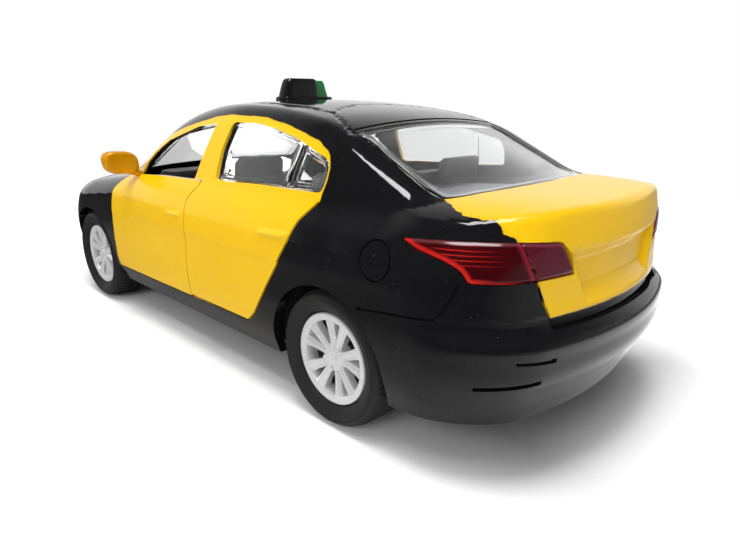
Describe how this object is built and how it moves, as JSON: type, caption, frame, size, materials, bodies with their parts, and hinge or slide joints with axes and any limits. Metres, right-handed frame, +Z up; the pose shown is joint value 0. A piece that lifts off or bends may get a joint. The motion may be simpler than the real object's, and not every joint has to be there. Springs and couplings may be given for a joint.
{
  "type": "toy taxi car",
  "caption": "Die-cast toy taxi saloon with opening front doors, clear plastic windows, a roof sign and rolling wheels.",
  "frame": {"origin": "on the ground, under the middle of the car's length and width", "axes": "+X forward, +Y to the car's left, +Z up"},
  "size_m": [0.1216, 0.054, 0.0424],
  "materials": {
    "black_paint": "gloss",
    "yellow_paint": "gloss",
    "base_black": "satin",
    "tub_grey": "satin",
    "wheel_black": "satin",
    "clear_plastic": "clear",
    "sign_black": "gloss",
    "lamp_green": "gloss",
    "lamp_red": "gloss",
    "lamp_clear": "clear",
    "grille_black": "gloss",
    "mirror_yellow": "gloss",
    "steel": "bare",
    "motor_black": "satin",
    "rim_silver": "plated",
    "tyre_rubber": "matte"
  },
  "bodies": {
    "body": {"body_shell": "black_paint", "chassis_base": "base_black", "interior_tub": "tub_grey", "steering_wheel": "wheel_black", "window_insert": "clear_plastic", "grille": "grille_black", "roof_sign": "sign_black", "roof_sign_lamp": "lamp_green", "pullback_motor": "motor_black", "base_screw_front": "steel", "base_screw_rear": "steel", "door_pin_left": "steel", "tail_lamp_left": "lamp_red", "headlamp_left": "lamp_clear", "door_pin_right": "steel", "tail_lamp_right": "lamp_red", "headlamp_right": "lamp_clear"},
    "door_left": {"door_left": "yellow_paint", "mirror_left": "mirror_yellow"},
    "door_right": {"door_right": "yellow_paint", "mirror_right": "mirror_yellow"},
    "front_wheels": {"front_axle": "steel", "rim_front_left": "rim_silver", "rim_front_right": "rim_silver", "tyre_front_left": "tyre_rubber", "tyre_front_right": "tyre_rubber"},
    "rear_wheels": {"rear_axle": "steel", "rim_rear_left": "rim_silver", "rim_rear_right": "rim_silver", "tyre_rear_left": "tyre_rubber", "tyre_rear_right": "tyre_rubber"}
  },
  "joints": [
    {"name": "door_left_hinge", "type": "hinge", "parent": "body", "child": "door_left", "pos_m": [0.0242, 0.0207, 0.016], "axis": [0, 0, -1], "range_deg": [0, 60]},
    {"name": "door_right_hinge", "type": "hinge", "parent": "body", "child": "door_right", "pos_m": [0.0242, -0.0207, 0.016], "axis": [0, 0, 1], "range_deg": [0, 60]},
    {"name": "front_axle_spin", "type": "hinge", "parent": "body", "child": "front_wheels", "pos_m": [0.0368, 0, 0.00885], "axis": [0, 1, 0], "continuous": true},
    {"name": "rear_axle_spin", "type": "hinge", "parent": "body", "child": "rear_wheels", "pos_m": [-0.0339, 0, 0.00885], "axis": [0, 1, 0], "continuous": true}
  ]
}
